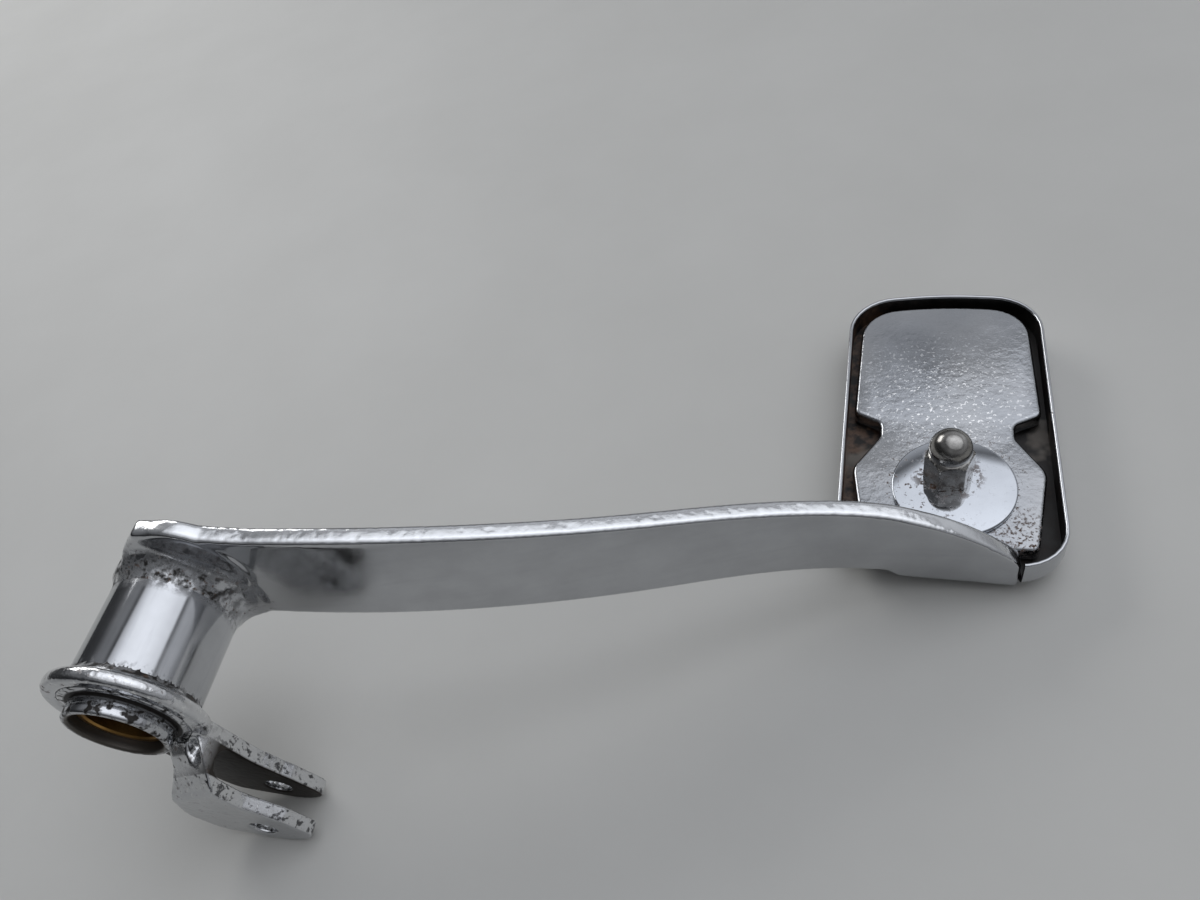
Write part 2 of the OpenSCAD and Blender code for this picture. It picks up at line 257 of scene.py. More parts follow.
def cut(mesh, cutter_mesh, sharp=40):
    """The mesh less another one."""
    cutter = bpy.data.objects.new("cutter", cutter_mesh)
    bpy.context.scene.collection.objects.link(cutter)

    def build(holder):
        boolean = holder.modifiers.new("cut", "BOOLEAN")
        boolean.operation = "DIFFERENCE"
        boolean.solver = "MANIFOLD"
        boolean.object = cutter
    result = applied(mesh, build)
    bpy.data.objects.remove(cutter)
    shade(result, sharp)
    return result


def turned(profile, count, centre=(0, 0)):
    """Rings round the Y direction from (radius, y) pairs."""
    angles = [2 * math.pi * i / count for i in range(count)]
    return [[(centre[0] + r * math.sin(t), y, centre[1] + r * math.cos(t)) for t in angles]
            for r, y in profile]


def lathe(profile, count):
    """A turned form round Y from (radius, y) pairs, joined end to end."""
    return loft(turned(profile, count), closed=True)


def box_part(low, high):
    (x0, y0, z0), (x1, y1, z1) = low, high
    verts = [(x, y, z) for x in (x0, x1) for y in (y0, y1) for z in (z0, z1)]
    return verts, [(0, 1, 3, 2), (4, 6, 7, 5), (0, 4, 5, 1), (2, 3, 7, 6), (0, 2, 6, 4),
                   (1, 5, 7, 3)]


def arc_steps(count):
    """Angles of a quarter turn in equal steps."""
    return [math.pi / 2 * i / count for i in range(count + 1)]


def near_edge(r, y, soft):
    """(radius, y) pairs of a rounded edge, from just past the near face out to the radius."""
    return [(r - soft + soft * math.sin(t), y + soft - soft * math.cos(t))
            for t in arc_steps(6)[1:]]


def far_edge(r, y, soft):
    """(radius, y) pairs of a rounded edge, from the radius in to the far face."""
    return [(r - soft + soft * math.cos(t), y - soft + soft * math.sin(t)) for t in arc_steps(6)]


def roughen(mesh, amount, scale, low, high, wanted):
    """Moves the chosen points along their normals by smooth noise, in millimetres."""
    count = len(mesh.vertices)
    places, normals = np.zeros(count * 3), np.zeros(count * 3)
    mesh.vertices.foreach_get("co", places)
    mesh.vertex_normals.foreach_get("vector", normals)
    places, normals = places.reshape(-1, 3) / MM, normals.reshape(-1, 3)
    for i, (place, normal) in enumerate(zip(places, normals)):
        share = wanted(place, normal)
        if share > 0:
            step = amount * noise.fractal(Vector(place) * scale, 1.0, 2.0, 3)
            places[i] += normal * share * min(max(step, low), high)
    mesh.vertices.foreach_set("co", (places * MM).ravel())
    mesh.update()


# Materials

def feed(tree, value, socket):
    if isinstance(value, bpy.types.NodeSocket):
        tree.links.new(value, socket)
    elif isinstance(value, (tuple, list)) and len(value) == 3 and socket.type == "RGBA":
        socket.default_value = (*value, 1)
    else:
        socket.default_value = value


def mix(tree, fac, a, b, kind="MIX"):
    node = tree.nodes.new("ShaderNodeMix")
    node.data_type = "RGBA"
    node.blend_type = kind
    for value, slot in ((fac, 0), (a, 6), (b, 7)):
        feed(tree, value, node.inputs[slot])
    return node.outputs[2]


def mix_value(tree, fac, a, b):
    node = tree.nodes.new("ShaderNodeMix")
    for value, slot in ((fac, 0), (a, 2), (b, 3)):
        feed(tree, value, node.inputs[slot])
    return node.outputs[0]


def maths(tree, op, a, b=0.0, clamp=False):
    node = tree.nodes.new("ShaderNodeMath")
    node.operation = op
    node.use_clamp = clamp
    feed(tree, a, node.inputs[0])
    feed(tree, b, node.inputs[1])
    return node.outputs[0]


def between(tree, value, start, end, low=0.0, high=1.0):
    node = tree.nodes.new("ShaderNodeMapRange")
    for i, item in enumerate((value, start, end, low, high)):
        feed(tree, item, node.inputs[i])
    return node.outputs[0]


def component(tree, vector, name):
    node = tree.nodes.new("ShaderNodeSeparateXYZ")
    tree.links.new(vector, node.inputs[0])
    return node.outputs[name]


def ramp(tree, fac, stops):
    """A colour from pairs of (position, colour)."""
    node = tree.nodes.new("ShaderNodeValToRGB")
    band = node.color_ramp
    while len(band.elements) < len(stops):
        band.elements.new(0.5)
    for element, (pos, col) in zip(band.elements, stops):
        element.position = pos
        element.color = (*col, 1)
    tree.links.new(fac, node.inputs["Fac"])
    return node.outputs["Color"]

class Look:
    """A surface built up from a base colour and patches laid over it."""

    def __init__(self, name, rough=None, metal=1.0):
        self.mat = bpy.data.materials.new(name)
        self.mat.use_nodes = True
        self.tree = self.mat.node_tree
        self.tree.nodes.clear()
        out = self.tree.nodes.new("ShaderNodeOutputMaterial")
        self.shader = self.tree.nodes.new("ShaderNodeBsdfPrincipled")
        self.tree.links.new(self.shader.outputs["BSDF"], out.inputs["Surface"])
        self.at = self.tree.nodes.new("ShaderNodeTexCoord").outputs["Object"]
        self.colour, self.rough, self.metal = None, rough, metal
        self.height = None

    def scaled(self, scale, turn=(0, 0, 0)):
        node = self.tree.nodes.new("ShaderNodeMapping")
        node.inputs["Scale"].default_value = scale
        node.inputs["Rotation"].default_value = turn
        self.tree.links.new(self.at, node.inputs["Vector"])
        return node.outputs["Vector"]

    def noise(self, scale, detail=3, rough=0.5, at=None):
        node = self.tree.nodes.new("ShaderNodeTexNoise")
        node.inputs["Scale"].default_value = scale
        node.inputs["Detail"].default_value = detail
        node.inputs["Roughness"].default_value = rough
        self.tree.links.new(at or self.at, node.inputs["Vector"])
        return node.outputs["Fac"]

    def axis(self, name):
        return component(self.tree, self.at, name)

    def facing(self, name):
        source = self.tree.nodes.new("ShaderNodeNewGeometry")
        return component(self.tree, source.outputs["Normal"], name)

    def ring_distance(self):
        """Distance from the pivot axis."""
        flat = self.tree.nodes.new("ShaderNodeCombineXYZ")
        for name in "XZ":
            self.tree.links.new(self.axis(name), flat.inputs[name])
        length = self.tree.nodes.new("ShaderNodeVectorMath")
        length.operation = "LENGTH"
        self.tree.links.new(flat.outputs[0], length.inputs[0])
        return length.outputs["Value"]

    def distance(self, point):
        node = self.tree.nodes.new("ShaderNodeVectorMath")
        node.operation = "DISTANCE"
        self.tree.links.new(self.at, node.inputs[0])
        node.inputs[1].default_value = [v * MM for v in point]
        return node.outputs["Value"]

    def near(self, point, full, none):
        """A share of 1 within the first distance of a point, 0 beyond the second."""
        return between(self.tree, self.distance(point), full * MM, none * MM, 1.0, 0.0)

    def span(self, value, *stops):
        """A share of 0 to 1 from pairs of (value in mm, share)."""
        lowest, highest = stops[0][0], stops[-1][0]
        at = between(self.tree, value, lowest * MM, highest * MM)
        return self.ramp(at, *[((p - lowest) / (highest - lowest), (s, s, s)) for p, s in stops])

    def ramp(self, fac, *stops):
        return ramp(self.tree, fac, stops)

    def specks(self, scale, start, end, detail=2):
        return between(self.tree, self.noise(scale, detail, 0.6), start, end)

    def times(self, *masks):
        value = masks[0]
        for mask in masks[1:]:
            value = maths(self.tree, "MULTIPLY", value, mask, clamp=True)
        return value

    def patch(self, mask, colour, rough=None, metal=None):
        self.colour = mix(self.tree, mask, self.colour, colour)
        if rough is not None:
            self.rough = mix_value(self.tree, mask, self.rough, rough)
        if metal is not None:
            self.metal = mix_value(self.tree, mask, self.metal, metal)

    def raise_by(self, height, weight=1.0):
        part = maths(self.tree, "MULTIPLY", height, weight)
        self.height = part if self.height is None else maths(self.tree, "ADD", self.height, part)

    def done(self, strength=1.0, distance=0.1):
        feed(self.tree, self.colour, self.shader.inputs["Base Color"])
        feed(self.tree, self.rough, self.shader.inputs["Roughness"])
        feed(self.tree, self.metal, self.shader.inputs["Metallic"])
        if self.height is not None:
            node = self.tree.nodes.new("ShaderNodeBump")
            node.inputs["Strength"].default_value = strength
            node.inputs["Distance"].default_value = distance * MM
            self.tree.links.new(self.height, node.inputs["Height"])
            self.tree.links.new(node.outputs["Normal"], self.shader.inputs["Normal"])
        return self.mat


RUST = (0.085, 0.042, 0.022)
GRIME = (0.018, 0.015, 0.013)
CHROME = (0.56, 0.57, 0.59)
CHROME_DARK = (0.42, 0.43, 0.45)
BRIGHT = (0.9, 0.9, 0.9)


def chrome(name, rough, tint=CHROME):
    """Plated steel: a mirror with faint smudges and a slow ripple."""
    look = Look(name)
    smudge = look.noise(60, 5, 0.6)
    look.colour = look.ramp(smudge, (0.35, [c * 0.88 for c in tint]), (0.65, tint))
    look.rough = between(look.tree, smudge, 0.35, 0.75, rough, rough * 2.2)
    look.raise_by(look.noise(140, 2, 0.5), 0.35)
    return look


def tube_material():
    look = chrome("tube chrome", 0.07)
    streaks = look.noise(40, 4, 0.6, look.scaled((14, 1, 14)))
    look.patch(between(look.tree, streaks, 0.52, 0.7, 0, 0.35), CHROME_DARK, 0.2)
    y = look.axis("Y")
    grime = look.times(look.span(y, (9, 0), (11.5, 0.6), (13, 1)), look.specks(420, 0.40, 0.6, 4))
    look.patch(grime, GRIME, 0.5, 0.2)
    stain = look.times(look.span(y, (-16, 1), (-10, 0)), look.specks(420, 0.52, 0.62))
    look.patch(stain, GRIME, 0.45, 0.3)
    inside = look.span(look.ring_distance(), (12.4, 1), (13.2, 0))
    look.patch(inside, (0.10, 0.09, 0.08), 0.45, 0.8)
    groove = look.times(look.span(y, (-20.2, 0), (-19.5, 1), (-19, 1), (-18.6, 0)),
                        look.span(look.ring_distance(), (14.8, 1), (15.4, 0)))
    look.patch(groove, GRIME, 0.6, 0.1)
    return look.done(0.5, 0.08)

def lever_material():
    look = chrome("lever chrome", 0.07)
    ring, y = look.ring_distance(), look.axis("Y")
    rim = look.span(ring, (18.5, 0), (20, 1), (26, 0.4), (40, 0.15))
    look.raise_by(look.times(look.noise(900, 3, 0.7), rim), 0.7)
    edge = between(look.tree, maths(look.tree, "ABSOLUTE", look.facing("Y")), 0.5, 0.85, 1.0, 0.0)
    rough_edge = look.times(look.noise(480, 4, 0.7), edge, look.span(ring, (20, 0), (26, 1)))
    look.raise_by(rough_edge, 1.3)
    look.patch(look.times(edge, 0.5), BRIGHT, 0.2)
    pits = look.times(edge, look.specks(520, 0.53, 0.60, 4), look.span(ring, (21, 0), (27, 1)))
    look.patch(pits, (0.13, 0.13, 0.135), 0.16)
    look.patch(look.times(rim, look.specks(1100, 0.60, 0.68)), BRIGHT, 0.25)
    cove = look.times(look.span(y, (-15.2, 0), (-14, 1), (-9, 1)), look.specks(300, 0.36, 0.56, 4))
    look.patch(cove, GRIME, 0.5, 0.2)
    # Painted shade: the faces inside the slot between the two ears are made near black
    slot = look.times(look.span(y, (-27.0, 0), (-26.7, 1), (-18.8, 1), (-18.4, 0)),
                      look.span(ring, (20, 0), (25, 1)))
    look.patch(slot, (0.028, 0.022, 0.017), 0.45, 0.35)
    rust = look.times(look.specks(500, 0.62, 0.7), look.span(ring, (14, 0.8), (30, 0.15)))
    look.patch(rust, RUST, 0.7, 0.1)
    return look.done(0.6, 0.12)


def arm_material():
    look = chrome("arm chrome", 0.085)
    streaks = look.noise(30, 4, 0.6, look.scaled((1, 1, 9)))
    look.patch(between(look.tree, streaks, 0.5, 0.75, 0, 0.3), CHROME_DARK, 0.16)
    # Painted highlight: faces that look upwards are made lighter than the rest of the chrome, with
    # a rougher finish
    top = between(look.tree, look.facing("Z"), 0.35, 0.75)
    look.patch(look.times(top, 0.55), (0.86, 0.87, 0.88), 0.22)
    look.raise_by(look.times(look.noise(520, 4, 0.65), top), 0.8)
    ring = look.ring_distance()
    grime = look.times(look.span(ring, (17, 1), (19, 1), (22.5, 0)),
                       look.span(look.axis("Y"), (8, 1), (18.6, 1), (19.5, 0)),
                       look.span(look.axis("Z"), (-8, 0.15), (6, 1)),
                       look.specks(420, 0.40, 0.6, 4))
    look.patch(grime, GRIME, 0.5, 0.15)
    rust = look.times(look.span(ring, (17, 0.9), (24, 0.3), (28, 0)), look.specks(700, 0.60, 0.68))
    look.patch(rust, RUST, 0.7, 0.1)
    return look.done(0.5, 0.12)


def plate_material():
    look = chrome("plate chrome", 0.14, (0.40, 0.415, 0.44))
    band = look.noise(22, 2, 0.5, look.scaled((1, 0.7, 1), (0, 0, math.radians(30))))
    look.patch(between(look.tree, band, 0.42, 0.6, 0.0, 0.45), (0.5, 0.5, 0.5), 0.2)
    look.raise_by(look.noise(330, 3, 0.55), 1.0)
    look.raise_by(look.noise(1300, 2, 0.6), 0.25)
    middle = look.times(look.near((209, 112, PLATE_TOP), 10, 34), look.specks(900, 0.60, 0.66))
    look.patch(middle, (0.93, 0.93, 0.93), 0.3)
    washer_centre = at_stud([WASHER_OFF], PLATE_TOP)[0]
    halo = look.times(look.near(washer_centre, 17.8, 24), look.specks(1000, 0.60, 0.67, 3))
    look.patch(halo, RUST, 0.75, 0.1)
    corner = look.times(look.near((228, 62, PLATE_TOP), 3, 12), look.specks(900, 0.52, 0.62, 3))
    look.patch(corner, RUST, 0.7, 0.1)
    return look.done(0.8, 0.16)


def cover_material():
    look = chrome("cover chrome", 0.08)
    look.patch(look.specks(800, 0.70, 0.76), RUST, 0.6, 0.2)
    return look.done(0.4, 0.08)


def cover_inside_material():
    look = Look("cover inside", metal=0.3)
    patches = look.noise(150, 5, 0.65)
    look.colour = look.ramp(patches, (0.4, (0.004, 0.0035, 0.003)), (0.6, (0.012, 0.009, 0.008)),
                            (0.8, (0.05, 0.036, 0.028)))
    left = look.span(look.axis("X"), (178, 1), (188, 0.7), (200, 0))
    look.patch(look.times(left, look.specks(260, 0.42, 0.6, 4)), (0.11, 0.06, 0.035), metal=0.0)
    beside = look.span(look.axis("Y"), (88, 0), (95, 0.7), (110, 0.6), (116, 0))
    look.patch(look.times(look.specks(70, 0.5, 0.6, 3), beside), (0.16, 0.14, 0.12), metal=0.1)
    look.rough = between(look.tree, patches, 0.3, 0.8, 0.3, 0.65)
    look.raise_by(look.noise(500, 4, 0.6), 1.0)
    return look.done(0.5, 0.1)


def washer_material():
    look = chrome("washer chrome", 0.035, (0.57, 0.595, 0.635))
    left = look.span(look.axis("X"), (194, 1), (204, 0.7), (216, 0.05))
    look.patch(look.times(left, look.specks(760, 0.60, 0.67, 3)), RUST, 0.75, 0.1)
    halo = look.times(look.near((STUD_X, STUD_Y, PLATE_TOP), 7, 11), look.specks(560, 0.5, 0.6, 3))
    look.patch(halo, RUST, 0.7, 0.1)
    return look.done(0.15, 0.05)


def nut_material():
    look = Look("tarnished steel")
    patches = look.noise(190, 5, 0.65)
    look.colour = look.ramp(patches, (0.3, (0.17, 0.16, 0.15)), (0.7, (0.50, 0.49, 0.47)))
    look.rough = between(look.tree, patches, 0.3, 0.75, 0.26, 0.1)
    low = look.span(look.axis("Z"), (-35, 1), (-31, 0.25), (-24, 0))
    look.patch(look.times(low, look.specks(420, 0.50, 0.62, 3)), RUST, 0.7, 0.1)
    look.raise_by(look.noise(700, 4, 0.6), 1.0)
    return look.done(0.35, 0.08)


def bush_material():
    look = Look("greased bronze")
    patches = look.noise(120, 5, 0.6)
    look.colour = look.ramp(patches, (0.3, (0.10, 0.055, 0.02)), (0.7, (0.42, 0.24, 0.075)))
    look.rough = between(look.tree, patches, 0.3, 0.7, 0.5, 0.3)
    look.raise_by(look.noise(600, 3, 0.6), 1.0)
    return look.done(0.3, 0.08)


def rubber_material():
    look = Look("black rubber", metal=0.0)
    patches = look.noise(90, 5, 0.65)
    look.colour = look.ramp(patches, (0.3, (0.016, 0.016, 0.017)), (0.75, (0.045, 0.044, 0.042)))
    look.rough = between(look.tree, patches, 0.3, 0.75, 0.5, 0.78)
    look.raise_by(look.noise(1500, 3, 0.7), 1.0)
    return look.done(0.4, 0.06)


def backing_material():
    look = Look("black steel", 0.45, 0.2)
    patches = look.noise(110, 5, 0.6)
    look.colour = look.ramp(patches, (0.35, (0.02, 0.019, 0.018)), (0.7, (0.06, 0.05, 0.043)))
    look.raise_by(look.noise(500, 4, 0.6), 1.0)
    return look.done(0.4, 0.08)


# Pieces

def tube_piece():
    soft, step = 0.9, 0.25
    profile = [(BORE_R + 0.7, TUBE_NEAR), (NOSE_R - soft, TUBE_NEAR)]
    profile += near_edge(NOSE_R, TUBE_NEAR, soft)
    profile += [(NOSE_R, NOSE_FAR - 0.7), (NOSE_R - step, NOSE_FAR - 0.4),
                (NOSE_R - step, NOSE_FAR), (TUBE_R - 0.3, NOSE_FAR), (TUBE_R, NOSE_FAR + 0.3)]
    profile += [(TUBE_R, y) for y in np.linspace(NOSE_FAR + 1, TUBE_FAR - soft, 24)]
    profile += far_edge(TUBE_R, TUBE_FAR, soft)[1:]
    profile += [(BORE_R + 0.7, TUBE_FAR), (BORE_R + 0.2, TUBE_FAR - 0.25), (BORE_R, TUBE_FAR - 0.8)]
    profile += [(BORE_R, y) for y in np.linspace(TUBE_FAR - 2, TUBE_NEAR + 2, 12)]
    profile += [(BORE_R, TUBE_NEAR + 0.8), (BORE_R + 0.2, TUBE_NEAR + 0.25)]
    return make_mesh("tube", lathe(profile, 192), sharp=50)


def bush_piece(name, start):
    end = start + BUSH_LEN
    r, edge = BORE_R - 0.03, 0.5
    profile = [(BUSH_R + edge, start), (r - edge, start), (r, start + edge), (r, end - edge),
               (r - edge, end), (BUSH_R + edge, end), (BUSH_R, end - edge), (BUSH_R, start + edge)]
    return make_mesh(name, lathe(profile, 128), sharp=30)


def eye_part(centre, r):
    """A disc as thick as the arm, with rounded edges."""
    soft, near, far, middle = 1.4, ARM_NEAR, ARM_NEAR + ARM_T, 0.01
    profile = [(middle, near), (r - soft, near)] + near_edge(r, near, soft)
    profile += far_edge(r, far, soft) + [(r - soft, far), (middle, far)]
    return loft(turned(profile, 144, centre))


def bar_section(x, inset):
    """Ring round the bar at one station, its corners rounded."""
    s = (bar_face(x + 0.5) - bar_face(x - 0.5))
    normal = unit(np.array([-s, 1.0]))
    start = np.array([x, bar_face(x)])
    low, high, wide = height_on(HEEL, x) + inset, bar_top(x) - inset, ARM_T - inset
    r = min(1.2, (wide - inset) / 2 - 0.05)
    left, right, upper, lower = inset + r, wide - r, high - r, low + r
    ring = []
    for corner, centre in enumerate([(right, upper), (left, upper), (left, lower), (right, lower)]):
        for t in arc_steps(4):
            a = t + corner * math.pi / 2
            across, z = centre[0] + r * math.cos(a), centre[1] + r * math.sin(a)
            place = start + normal * across
            ring.append((place[0], place[1], z))
    return ring


def bar_part():
    """The bar, section by section, its end rounded."""
    end_round, last = 1.2, 1.45
    stations = [(x, 0.0) for x in np.arange(0.5, ARM_END - end_round - 0.6, 1.0)]
    for t in arc_steps(6):
        t = min(t, last)
        x = ARM_END - end_round + end_round * math.sin(t)
        stations.append((x, end_round * (1 - math.cos(t))))
    return loft([bar_section(x, inset) for x, inset in stations])


def flare_part():
    """The cove between the tube and the eye, clipped to the eye and the bar."""
    count, steps, widest, inner = 160, 12, 24.0, 15
    bar_low, bar_high = -0.62, 0.85
    angles = [2 * math.pi * i / count for i in range(count)]
    centre = np.array([CROWN_X, CROWN_Z])
    limits = []
    for t in angles:
        ray = np.array([math.sin(t), math.cos(t)])
        reach = EYE_R
        along = float(ray @ centre)
        inside = along**2 - (centre @ centre - CROWN_R**2)
        if inside > 0:
            reach = max(reach, along + math.sqrt(inside))
        if ray[0] > 0 and bar_low < math.atan2(ray[1], ray[0]) < bar_high:
            reach = widest
        limits.append(min(reach, widest))
    smooth = np.array(limits)
    for _ in range(6):
        smooth = (np.roll(smooth, 1) + 2 * smooth + np.roll(smooth, -1)) / 4
    rings = []
    for step in range(steps):
        ring = []
        for t, limit in zip(angles, smooth):
            last = math.acos(max(min((TUBE_R + FILLET - limit) / FILLET, 1), 0))
            a = last * step / (steps - 1)
            r, y = TUBE_R + FILLET - FILLET * math.cos(a), ARM_NEAR - FILLET + FILLET * math.sin(a)
            ring.append((r * math.sin(t), y, r * math.cos(t)))
        rings.append(ring)
    in_eye, in_tube = ARM_NEAR + 2, ARM_NEAR - FILLET
    rings.append([(r * math.sin(t), in_eye, r * math.cos(t)) for t, r in zip(angles, smooth)])
    rings += turned([(inner, in_eye), (inner, in_tube)], count)
    return loft(rings, closed=True)


def arm_piece():
    shells = [bar_part(), flare_part(), eye_part((0, 0), EYE_R),
              eye_part((CROWN_X, CROWN_Z), CROWN_R)]
    mesh = softened(make_mesh("arm shells", *shells), 0.55, 8)
    bar_begins, ring_share = 24, 0.4
    roughen(mesh, 0.16, 0.42, -0.2, 0.0,
            lambda p, n: max(0.0, n[2] - 0.25) if p[0] > bar_begins else ring_share)
    r, end, middle = TUBE_R + 0.02, TUBE_FAR + 5, 0.01
    bore = lathe([(middle, TUBE_NEAR), (r, TUBE_NEAR), (r, end), (middle, end)], 192)
    return cut(mesh, make_mesh("bore", bore))


def lever_piece():
    """The lever's own solid with rounded edges, its far ear a little slimmer towards the pad."""
    mesh = softened(nodes["fork_lever"].data.copy(), 0.42, 7)
    c, s = math.cos(LEVER_LEAN), math.sin(LEVER_LEAN)
    pin_x, pin_z = PIN_REACH * s, -PIN_REACH * c
    slim_from, slim_over, core, slope = 34, 10, 6.5, 0.42
    places = np.zeros(len(mesh.vertices) * 3)
    mesh.vertices.foreach_get("co", places)
    places = places.reshape(-1, 3) / MM
    along = places[:, 0] * s - places[:, 2] * c
    wide = places[:, 0] * c + places[:, 2] * s
    far_ear = places[:, 1] > NOSE_FAR - 0.3
    share = np.clip((along - slim_from) / slim_over, 0, 1) * far_ear
    trim = np.maximum(wide - core, 0) * slope * share
    places[:, 0] -= trim * c
    places[:, 2] -= trim * s
    mesh.vertices.foreach_set("co", (places * MM).ravel())
    mesh.update()

    def wanted(place, normal):
        pin_hole = math.hypot(place[0] - pin_x, place[2] - pin_z) <= 6
        tube = math.hypot(place[0], place[2]) <= 18.5
        return 0.0 if pin_hole or tube else 1.0
    roughen(mesh, 0.10, 0.7, -0.14, 0.0, wanted)
    return mesh


def filled(mesh_name, levels, holes, sharp):
    """A plate from rings of its outline, from bottom to top, with holes through it."""
    work = bmesh.new()
    edge_loops = []

    def ring_verts(points):
        return [work.verts.new(Vector(p) * MM) for p in points]

    rows = [ring_verts(ring) for ring in levels]
    walls = [rows] + [[ring_verts(ring) for ring in hole] for hole in holes]
    for wall in walls:
        for lower, upper in zip(wall, wall[1:]):
            for i in range(len(lower)):
                j = (i + 1) % len(lower)
                work.faces.new((lower[i], lower[j], upper[j], upper[i]))
        edge_loops.append((wall[0], wall[-1]))
    for side in (0, 1):
        edges = []
        for loops in edge_loops:
            ring = loops[side]
            for i in range(len(ring)):
                edges.append(work.edges.get((ring[i], ring[(i + 1) % len(ring)])))
        bmesh.ops.triangle_fill(work, use_beauty=True, use_dissolve=False, edges=edges)
    bmesh.ops.recalc_face_normals(work, faces=work.faces)
    mesh = bpy.data.meshes.new(mesh_name)
    work.to_mesh(mesh)
    work.free()
    shade(mesh, sharp)
    return mesh


def plate_outline():
    """The foot plate's hourglass; its near edge lies along the bar, a little askew."""
    w, waist = PLATE_W / 2, WAIST_W / 2
    right = [(0, PLATE_FAR, FAR_BOW), (w - 1.5, PLATE_FAR - 2.5, 13), (w, NOTCH + 7.5, 3),
             (waist, NOTCH + 3.5, 3), (waist, NOTCH - 2, 3), (w, 3, 7), (w - 4, -23.3, 3)]
    near = [(22.0, -24.2, 0.5), (-20.4, -25.3, 0.5)]
    left = mirrored(right)[len(right):]
    left[0] = (-w + 4, -23.9, 2.2)
    return rounded(right + near + left)


def soft_levels(outline, low, high, soft, steps=5):
    """Rings up a plate's edge whose lower and upper corners are rounded."""
    arc = [(soft * (1 - math.sin(t)), soft * (1 - math.cos(t))) for t in arc_steps(steps)]
    rings = [(offset(outline, inset), low + rise) for inset, rise in arc]
    rings += [(offset(outline, soft * (1 - math.cos(t))), high - soft + soft * math.sin(t))
              for t in arc_steps(steps)]
    return [at_stud(ring, z) for ring, z in rings]


def stud_bore(r, count, *heights):
    return [at_stud(circle_ring(r, count), z) for z in heights]


def plate_piece():
    levels = soft_levels(plate_outline(), PLATE_BOTTOM, PLATE_TOP, 1.3)
    hole = stud_bore(STUD_HOLE_R, 48, PLATE_BOTTOM, PLATE_TOP)
    return filled("foot plate", levels, [hole], 35)


def cover_shell():
    """The cover's (inset, height) pairs: up its outside, over the rim and down its inside."""
    centre_z, lip = COVER_BOTTOM + COVER_ROUND, 0.6
    r = COVER_ROUND
    outer = [(r * (1 - math.sin(t)), centre_z - r * math.cos(t)) for t in arc_steps(10)]
    outer += [(0.0, centre_z + 2.5), (0.0, RIM_TOP - lip)]
    rim = [(lip * (1 - math.cos(t)), RIM_TOP - lip + lip * math.sin(t)) for t in arc_steps(5)[1:]]
    rim += [(COVER_WALL - lip * (1 - math.sin(t)), RIM_TOP - lip + lip * math.cos(t))
            for t in arc_steps(5)[1:]]
    r = COVER_ROUND - COVER_WALL
    inner = [(COVER_WALL, centre_z)]
    inner += [(COVER_WALL + r * (1 - math.cos(t)), centre_z - r * math.sin(t))
              for t in arc_steps(10) if centre_z - r * math.sin(t) > PLATE_BOTTOM]
    inner += [(inner[-1][0] + 0.8, PLATE_BOTTOM)]
    return outer + rim + inner


def cover_piece():
    recess = [(RECESS_IN, RECESS_TOP), (RECESS_IN, COVER_BOTTOM + 0.5),
              (RECESS_IN - 0.5, COVER_BOTTOM)]
    rings = [at_stud(pad_ring(inset), z) for inset, z in recess + cover_shell()]
    mesh = filled("cover", rings, [stud_bore(STUD_HOLE_R, 48, RECESS_TOP, PLATE_BOTTOM)], 35)
    passage = box_part((STUD_X - 38, ARM_NEAR, -60), (ARM_END + 0.3, PAD_NEAR + ARM_T + 0.4, 0))
    mesh = cut(mesh, make_mesh("passage", passage), 35)
    c, s = math.cos(PAD_TURN), math.sin(PAD_TURN)
    middle = (PLATE_FAR + COVER_GAP - COVER_NEAR) / 2
    marks = []
    for face in mesh.polygons:
        x, y, z = face.center / MM
        u, v = c * (x - STUD_X) + s * (y - STUD_Y), -s * (x - STUD_X) + c * (y - STUD_Y)
        nx, ny = c * face.normal.x + s * face.normal.y, -s * face.normal.x + c * face.normal.y
        inward = nx * u + ny * (v - middle) < -2
        within = PLATE_BOTTOM - 0.3 < z < RIM_TOP - 0.7
        marks.append(int(within and (face.normal.z > 0.05 or inward)))
    mesh.polygons.foreach_set("material_index", marks)
    return mesh


def rubber_piece():
    """The tread, its ribs and edges rounded."""
    inset, soft, reach = RECESS_IN + INLAY, 0.8, 40
    edge = [(soft * (1 - math.sin(t)), soft * (1 - math.cos(t))) for t in arc_steps(4)]
    rings = [at_stud(pad_ring(inset + more), PAD_BOTTOM + rise) for more, rise in edge]
    rings += [at_stud(pad_ring(inset), BACKING_BOTTOM)]
    mesh = make_mesh("tread", loft(rings), sharp=40)
    pitch = (PLATE_FAR + COVER_NEAR) / (GROOVES + 1)
    cutters = []
    for i in range(1, GROOVES + 1):
        near, far = (-COVER_NEAR + i * pitch + side * GROOVE_W / 2 for side in (-1, 1))
        ring = [(-reach, near), (-reach, far), (reach, far), (reach, near)]
        heights = (PAD_BOTTOM - 2, PAD_BOTTOM + GROOVE_DEPTH)
        cutters.append(loft([at_stud(ring, z) for z in heights]))
    mesh = cut(mesh, make_mesh("grooves", *cutters))
    return softened(mesh, 0.6, 3)


def backing_piece():
    outline = pad_ring(RECESS_IN + INLAY)
    levels = [at_stud(outline, z) for z in (BACKING_BOTTOM, RECESS_TOP)]
    return filled("backing", levels, [stud_bore(STUD_FIT_R, 48, BACKING_BOTTOM, RECESS_TOP)], 35)


def washer_piece():
    top = PLATE_TOP + WASHER_T
    levels = soft_levels(circle_ring(WASHER_R, 160, WASHER_OFF), PLATE_TOP, top, 0.55, 4)
    return filled("washer", levels, [stud_bore(STUD_HOLE_R, 64, PLATE_TOP, top)], 35)


